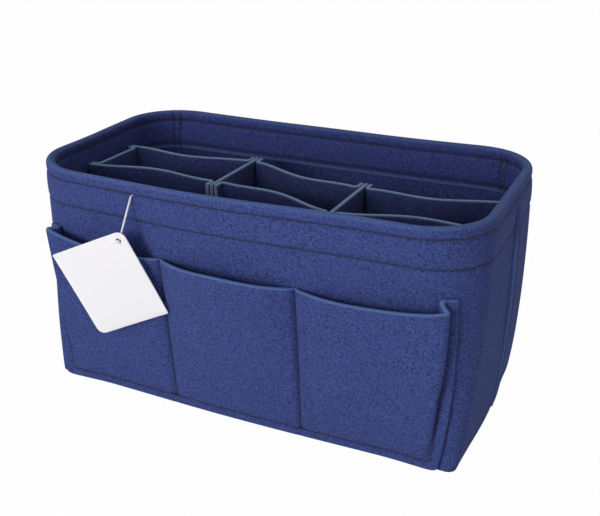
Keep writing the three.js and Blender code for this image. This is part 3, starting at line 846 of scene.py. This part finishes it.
for side in (-1, 1):
    lap_run = to_lap(side, upright, LAP - lap_shift(upright) - LAP_SIDE)
    wall_rows.append(turned(wall_path(lap_run, upright, climb(lap_run, upright) - SUNK)))
    for end, half in ((FACING_SEAM, turned), (long_end, tuple)):
        path, normals = half(wall_path(side * (end - SEAM_SIDE), seam_heights, facing_inside + SUNK))
        facing_rows.append((path, -normals))
    for place, deep in ((1.0, SEAM_DEEP), (FLANGE_ROW, 1.0)):
        mark = np.full_like(seam_share, side * place)
        pocket_rows.append(strip_path(mark, seam_share, FELT / 2 - SUNK * deep))
hem_marks = np.linspace(-FLANGE_ROW, FLANGE_ROW, 400)
hem_share = np.full_like(hem_marks, HEM_LINE / POCKET_TOP)
pocket_rows.append(strip_path(hem_marks, hem_share, FELT / 2 - SUNK))
pocket_rows += [turned(row) for row in pocket_rows]
add_stitches("wall_stitches", wall_rows, "shell")
add_stitches("facing_stitches", facing_rows, "shell")
add_stitches("pocket_stitches", pocket_rows, "shell")

# %% [markdown]
# ## The loose row of cells
# Six long panels and four cross panels stand on the floor as a row of three cells. Wherever panels
# meet, their edges are turned out and sewn together as a standing seam. Each long panel leans into
# its cell between its seams. A panel is a line in plan, drawn from the floor to the top.

# %% Lines of the panels in plan
DIVIDER_LOW, DIVIDER_TOP = 3.3, 135.3
CELL_PITCH, HALF_CELL, PINCH = 92.0, 25.0, 7.0
CELL_FLANGE, END_FLANGE, CELL_FOLD = 6.0, 3.0, 2.5
ROW_SWAY = (8.0, 18.0, -3.0, 8.0)   # how far behind the middle each cross panel stands
PAST_EDGE = 1.4                  # even places start this far from a cut edge
POSTS = len(ROW_SWAY)
ENDS = {0: -1, POSTS - 1: 1}     # the first and last cross panel, and which way is outward there


def row_end(height):
    return wall_plan(height)[1] - 2 * LAYER


def cross_x(post, height):
    end = row_end(height) - END_FLANGE - CELL_FOLD
    return (-end, -CELL_PITCH / 2, CELL_PITCH / 2, end)[post]


def fold(corner, arriving, leaving, count=8):
    """Quarter turn from one direction to another, round the corner where the two lines meet."""
    corner, arriving, leaving = (np.array(v, float) for v in (corner, arriving, leaving))
    turns = np.linspace(0, math.pi / 2, count)
    return [corner - arriving * CELL_FOLD * (1 - math.sin(a)) + leaving * CELL_FOLD * (1 - math.cos(a))
            for a in turns]


def edge_steps(start, end, count):
    """Points from start to just before end, with closer ones at the start, for the cut edge."""
    start, end = np.array(start, float), np.array(end, float)
    length = np.linalg.norm(end - start)
    even = [length * k / count for k in range(1, count)]
    places = [0.0, EDGE_STEP, EDGE_REACH, *(place for place in even if place > PAST_EDGE)]
    return [start + (end - start) * place / length for place in places]


def panel_end(post, side, inward, height):
    """One end of a long panel, from its cut edge towards the cell."""
    y = ROW_SWAY[post] + side * HALF_CELL
    if post in ENDS:
        return edge_steps([-inward * row_end(height), y], [cross_x(post, height), y], 4)
    x = cross_x(post, height) + inward * LAYER
    tip = [x, y + side * (CELL_FLANGE + CELL_FOLD)]
    return edge_steps(tip, [x, y + side * CELL_FOLD], 4) + fold([x, y], [0, -side], [inward, 0])


def long_panel(cell, side):
    def line(height):
        left = panel_end(cell, side, 1, height)
        right = panel_end(cell + 1, side, -1, height)
        start, end = left[-1], right[-1]
        share = np.linspace(0, 1, 41)[1:-1, None]
        pinch = side * PINCH * np.sin(math.pi * share) ** 2
        across = start + (end - start) * share - np.concatenate([0 * share, pinch], axis=1)
        points = np.array([*left, *across, *right[::-1]])
        return points if side < 0 else points[::-1]
    return line


def inner_cross(post):
    reach = HALF_CELL + CELL_FOLD + CELL_FLANGE

    def line(height):
        y = spread(-reach, reach, 3.0)
        return np.stack([np.full_like(y, cross_x(post, height)), ROW_SWAY[post] + y], axis=-1)
    return line


def end_cross(post):
    outward = ENDS[post]

    def half(side, height):
        x, y = cross_x(post, height), ROW_SWAY[post] + side * (HALF_CELL - LAYER)
        flange = edge_steps([outward * row_end(height), y], [x + outward * CELL_FOLD, y], 3)
        return flange + fold([x, y], [-outward, 0], [0, -side])

    def line(height):
        first, last = half(-1, height), half(1, height)
        points = np.array([*first, *np.linspace(first[-1], last[-1], 15)[1:-1], *last[::-1]])
        return points if outward > 0 else points[::-1]
    return line


print("row of", POSTS - 1, "cells,", round(2 * row_end(DIVIDER_TOP), 1), "mm long at the top")

# %% [markdown]
# ## The ten panels
# The same line, drawn at each height, makes a panel's grid. It could be extruded from one line, but
# the box widens upwards and the row widens with it.

# %% Panels of the row
divider_heights = spread(DIVIDER_LOW, DIVIDER_TOP, 6.0)


def add_panel(node, line, neighbours):
    middle = np.stack([
        np.concatenate([points, np.full((len(points), 1), z)], axis=1)
        for z in divider_heights for points in [line(z)]], axis=1)
    add_felt(node, middle, "divider_felt", "divider", "folded", neighbours)


for cell in range(POSTS - 1):
    near = [f"divider_cross_{cell + 1}", f"divider_cross_{cell + 2}"]
    add_panel(f"divider_front_{cell + 1}", long_panel(cell, -1), near)
    add_panel(f"divider_back_{cell + 1}", long_panel(cell, 1), near)
for post in range(POSTS):
    line = end_cross(post) if post in ENDS else inner_cross(post)
    add_panel(f"divider_cross_{post + 1}", line, ["base_panel"])

# %% [markdown]
# ## Stitches on the row
# Each standing seam is sewn once from top to bottom, and its thread shows on both sides.

# %% Stitches on the row
THREAD_SUNK = 0.1
seam_heights = np.linspace(DIVIDER_LOW + 2, DIVIDER_TOP - 2, 40)
divider_rows = []
for post in range(POSTS):
    for side in (-1, 1):
        y = ROW_SWAY[post] + side * HALF_CELL
        if post in ENDS:
            x = ENDS[post] * (row_end(seam_heights) - END_FLANGE / 2)
            seam = [(x, y + side * (FELT / 2 - THREAD_SUNK), [0, side, 0]),
                    (x, y - side * (LAYER + FELT / 2 - THREAD_SUNK), [0, -side, 0])]
        else:
            tip = y + side * (CELL_FLANGE / 2 + CELL_FOLD)
            seam = [(cross_x(post, 0) + out * (LAYER + FELT / 2 - THREAD_SUNK), tip, [out, 0, 0])
                    for out in (-1, 1)]
        for x, y_face, facing in seam:
            path = np.stack(np.broadcast_arrays(x, y_face, seam_heights), axis=-1)
            divider_rows.append((path, np.tile(np.array(facing, float), (len(path), 1))))
add_stitches("divider_stitches", divider_rows, "divider")

# %% [markdown]
# ## The nylon pin
# A moulded nylon pin holds the card: a bar inside the facing, a stem through the felt, a thin
# filament, and a round head in front of the card's hole. It is clear, milky nylon. A curve with a
# bevel would do for the filament, but a swept tube closes its own ends.

# %% The pin's finish, and tubes along a path
PIN_X, PIN_HEIGHT, PIN_RADIUS = -60.5, HEIGHT - 8, 0.6
milky_nylon = plain_finish(
    "milky_nylon", 3.0, ((0.3, 0.0), (0.7, 1.0)), (shade(214, 217, 228), shade(232, 234, 240)),
    {"Roughness": 0.35, "Subsurface Weight": 0.15, "Subsurface Scale": 0.001}, detail=1.0)


def swept(path, radii, sides=14):
    """A round tube along a path, with its ring turned no more than the path turns."""
    path = np.asarray(path, float)
    tangents = unit(np.gradient(path, axis=0))
    up = np.array([0.31, 0.22, 0.93])
    turns = np.arange(sides) * 2 * math.pi / sides
    points = []
    for at, along, radius in zip(path, tangents, radii):
        up = unit(up - along * np.dot(up, along))
        side = np.cross(along, up)
        points += [at + radius * (up * math.cos(t) + side * math.sin(t)) for t in turns]
    return np.array(points), tube_faces(1, len(path), sides)


def round_rod(start, end, radius):
    """A straight rod with round ends."""
    start, end = np.array(start, float), np.array(end, float)
    turns = np.linspace(0.2, math.pi / 2, 6)
    setback, radii = radius * (1 - np.cos(turns)), radius * np.sin(turns)
    places = np.concatenate([setback, np.linalg.norm(end - start) - setback[::-1]])
    return swept(start + unit(end - start) * places[:, None], [*radii, *radii[::-1]])


def smooth_path(points, per_span):
    """One smooth curve through all the points, which may be unevenly spaced."""
    points = np.array(points, float)
    padded = np.concatenate([[2 * points[0] - points[1]], points, [2 * points[-1] - points[-2]]])
    spans = gaps(padded) ** 0.5
    share = np.linspace(0, 1, per_span, endpoint=False)[:, None]
    curve = []
    for i in range(1, len(padded) - 2):
        before, here, there, after = padded[i - 1:i + 3]
        g0, g1, g2 = spans[i - 1:i + 2]
        leave = ((here - before) / g0 - (there - before) / (g0 + g1) + (there - here) / g1) * g1
        arrive = ((there - here) / g1 - (after - here) / (g1 + g2) + (after - there) / g2) * g1
        rest = there - here
        curve.append(here + leave * share + (3 * rest - 2 * leave - arrive) * share**2
                     + (leave + arrive - 2 * rest) * share**3)
    return np.concatenate([*curve, points[-1:]])


print("pin leaves the wall at", np.round(wall_point(PIN_X, PIN_HEIGHT), 1))

# %% [markdown]
# ## How the card hangs
# The card leans on the bulging pocket, so its place is three turns and a point: the hole that the
# pin goes through. Both the card and the pin's filament are laid out from there.

# %% The card's place
TAG_WIDTH, TAG_HEIGHT, TAG_THICKNESS = 50.6, 60.9, 0.8
TAG_INSET, TAG_HOLE, TAG_ROUND, TAG_SHARP = 5.3, 3.0, 5.0, 0.8
TAG_AT = np.array([-64.4, -94.373, 121.5])
AROUND, LEANING, ASKEW = (
    Matrix.Rotation(math.radians(degrees), 3, axis)
    for degrees, axis in ((15.4, "Z"), (6.5, "X"), (-23, "Y")))
tag_turn = np.array(AROUND @ LEANING @ ASKEW)
tag_up, tag_front = tag_turn[:, 2], -tag_turn[:, 1]


def behind_tag(distance, higher=0.0, right=0.0):
    return TAG_AT - tag_front * distance + tag_up * higher + tag_turn[:, 0] * right


print("card faces", np.round(tag_front, 3))

# %% [markdown]
# ## The pin's own shape
# The bar and its stem are two rods that run into each other. The filament is one smooth curve from
# the wall, past the card's edge and through its hole, and ends in the head.

# %% Bar, stem, filament and head
BAR_HALF, BAR_CLEAR = 5.0, 0.9   # half the bar's length, and from the facing to its middle
STEM_OUT, HINGE_OUT = 0.6, 1.5   # how far the stem and the filament's start stand out from the wall
HEAD_BACK = TAG_THICKNESS / 2 + 0.3
pin_exit = wall_point(PIN_X, PIN_HEIGHT)
hinge = pin_exit - np.array([0, HINGE_OUT, 0])


def add_nylon(name, parts, body, node):
    piece = add_mesh(name, *joined(parts), milky_nylon, body)
    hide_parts(node)
    print(f"{name}: {len(piece.data.vertices)} points")


across = np.array([BAR_HALF, 0, 0])
bar_middle = np.array([PIN_X, pin_exit[1] + 2 * LAYER + BAR_CLEAR, PIN_HEIGHT])
add_nylon("pin_bar", [
    round_rod(bar_middle - across, bar_middle + across, PIN_RADIUS),
    round_rod(pin_exit - np.array([0, STEM_OUT, 0]), bar_middle, PIN_RADIUS)], "shell", "tag_pin_bar")
to_edge = behind_tag(1.5, 4.5, 4.3) - hinge
filament_path = smooth_path([
    hinge, hinge + to_edge * 0.35, hinge + to_edge * 0.7, hinge + to_edge, behind_tag(1.8, 1.6, 1.5),
    behind_tag(1), behind_tag(-HEAD_BACK - 0.4)], 14)
filament_radii = np.full(len(filament_path), PIN_RADIUS)
filament_radii[:3] = PIN_RADIUS * np.array([0.45, 0.8, 0.95])
head_places = np.array([0.0, 0.08, 0.3, 0.52, 0.68, 0.77, 0.8])
head_radii = np.array([1.1, 1.3, 1.45, 1.4, 1.1, 0.7, 0.2])
head_path = [behind_tag(-HEAD_BACK - place, -0.55, -0.55) for place in head_places]
add_nylon("pin_filament", [swept(filament_path, filament_radii), swept(head_path, head_radii, 28)],
          "filament", "tag_filament")

# %% [markdown]
# ## The card
# A blank card of coated board, with two opposite corners cut round. A card that has hung for a
# while curls a little, away from the felt. Its grid runs out from the hole to the outline, so the
# hole, the corners and the curl come from one set of points.

# %% The card's finish and mesh
CURL_ACROSS, CURL_DOWN = 1.3, 0.9
white_card = plain_finish(
    "white_card", 0.6, ((0.5, 0.0), (0.8, 0.5)), (shade(252, 250, 253), shade(241, 240, 244)),
    {"Roughness": 0.55, "Specular IOR Level": 0.35}, detail=3.0, bump=(0.05, 0.3))


def card_outline(count):
    """Points evenly round the card, from its hole's own place."""
    right, top = TAG_INSET, TAG_INSET
    left, bottom = right - TAG_WIDTH, top - TAG_HEIGHT
    corners = ((left, bottom, TAG_ROUND, 180), (right, bottom, TAG_SHARP, 270),
               (right, top, TAG_ROUND, 0), (left, top, TAG_SHARP, 90))
    points = []
    for x, z, radius, first in corners:
        middle = np.array([x - math.copysign(radius, x), z - math.copysign(radius, z)])
        turns = np.radians(first + np.linspace(0, 90, 13))
        points += [middle + radius * np.array([math.cos(t), math.sin(t)]) for t in turns]
    ring = np.array([*points, points[0]])
    travelled = travel(ring)
    return at_places(ring, travelled, np.linspace(0, travelled[-1], count, endpoint=False))


outline = card_outline(260)
hole = unit(outline) * TAG_HOLE / 2
reach = np.linalg.norm(outline - hole, axis=-1)[:, None]
near_edge = np.array([0, 0.1, 0.3]) / reach
inner_shares = np.broadcast_to(np.linspace(0.15, 0.9, 9), (len(reach), 9))
share = np.concatenate([near_edge, inner_shares, 1 - near_edge[:, ::-1]], axis=1)[..., None]
flat = hole[:, None] + (outline - hole)[:, None] * share
curl = CURL_ACROSS * (flat[..., 0] / TAG_WIDTH) ** 2 + CURL_DOWN * (flat[..., 1] / TAG_HEIGHT) ** 2
local = np.stack([flat[..., 0], -curl, flat[..., 1]], axis=-1)
middle = local @ tag_turn.T + TAG_AT
faces = felt_faces(middle, "bt", closed=True, thickness=TAG_THICKNESS, reach=0.3, rounding=0.16)
points = np.concatenate([face.reshape(-1, 3) for face in faces[:2]])
card = add_mesh("card", points, sheet_faces(*middle.shape[:2], True), white_card, "tag")
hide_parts("hang_tag")
print("card:", len(card.data.vertices), "points")

# %% [markdown]
# ## Floor and light
# The photograph has a plain white ground. The floor is white for the camera but stays an ordinary
# floor for the light that bounces about, so the box still has its soft shadow. The front is evenly
# lit and the inside is dark, so the main lamp stands low in front, a little to the left, and weaker
# ones at the right, above and behind. The sky only fills in.

# %% Floor, world and lamps
WHITE = (1, 1, 1, 1)
FLOOR_GLOW = 0.98
SKY = 0.15


def floor_finish():
    finish = Finish("studio_floor")
    plain = finish.node("ShaderNodeBsdfDiffuse", None, {"Color": (0.9, 0.9, 0.9, 1)})
    glow = finish.node("ShaderNodeEmission", None, {"Color": WHITE, "Strength": 1.0})
    mixer = finish.either(finish.looked_at() * FLOOR_GLOW, plain, glow)
    return finish.close(mixer, "ShaderNodeOutputMaterial")


def studio_world(strength):
    finish = Finish("studio", bpy.data.worlds)
    sky = finish.node("ShaderNodeBackground", None, {"Color": WHITE, "Strength": strength})
    white = finish.node("ShaderNodeBackground", None, {"Color": WHITE, "Strength": 1.0})
    return finish.close(finish.either(finish.looked_at(), sky, white), "ShaderNodeOutputWorld")


bpy.ops.mesh.primitive_plane_add(size=8, location=(0, 0, -0.0004))
floor = bpy.context.object
floor.name = "studio_floor"
floor.data.materials.append(floor_finish())


def add_lamp(name, place, size, watts):
    lamp = bpy.data.objects.new(name, bpy.data.lights.new(name, "AREA"))
    bpy.context.scene.collection.objects.link(lamp)
    lamp.location = place
    lamp.rotation_euler = (Vector((0, 0, 0.08)) - lamp.location).to_track_quat("-Z", "Y").to_euler()
    lamp.data.size, lamp.data.energy = size, watts


bpy.context.scene.world = studio_world(SKY)
for name, place, size, watts in (
        ("key", (-0.35, -1.4, 0.45), 0.6, 11.3), ("fill", (1.45, -0.9, 0.7), 1.0, 3.6),
        ("top", (-0.2, -0.3, 1.8), 1.0, 7), ("back", (0.2, 1.5, 0.8), 1.0, 5)):
    add_lamp(name, place, size, watts)
bpy.context.scene.view_settings.view_transform = "Standard"
